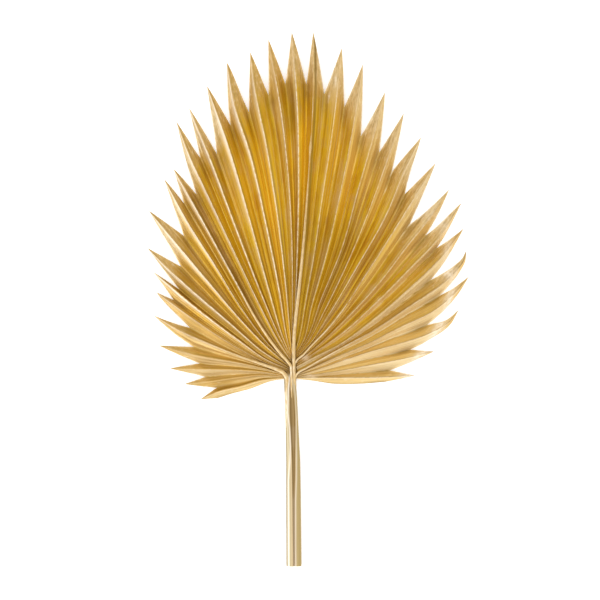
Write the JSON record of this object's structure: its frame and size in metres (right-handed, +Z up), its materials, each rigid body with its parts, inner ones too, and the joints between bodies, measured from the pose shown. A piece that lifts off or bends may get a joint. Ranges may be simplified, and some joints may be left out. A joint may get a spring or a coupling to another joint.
{
  "type": "fan palm leaf",
  "caption": "Dried fan palm leaf painted gold, a pleated blade of pointed leaflets on a cut petiole, lying with its ribs up",
  "frame": {"origin": "centre of the bounding box's underside, on the surface that the leaf lies on", "axes": "+Y from the petiole's cut end to the tip of the middle leaflet, +Z up out of the ribbed face, +X to the right seen from above"},
  "size_m": [0.3216, 0.5336, 0.013],
  "materials": {
    "gold_leaf": "satin gold spray paint over a dried leaf"
  },
  "bodies": {
    "root": {"palm_leaf": "gold_leaf"}
  },
  "joints": []
}
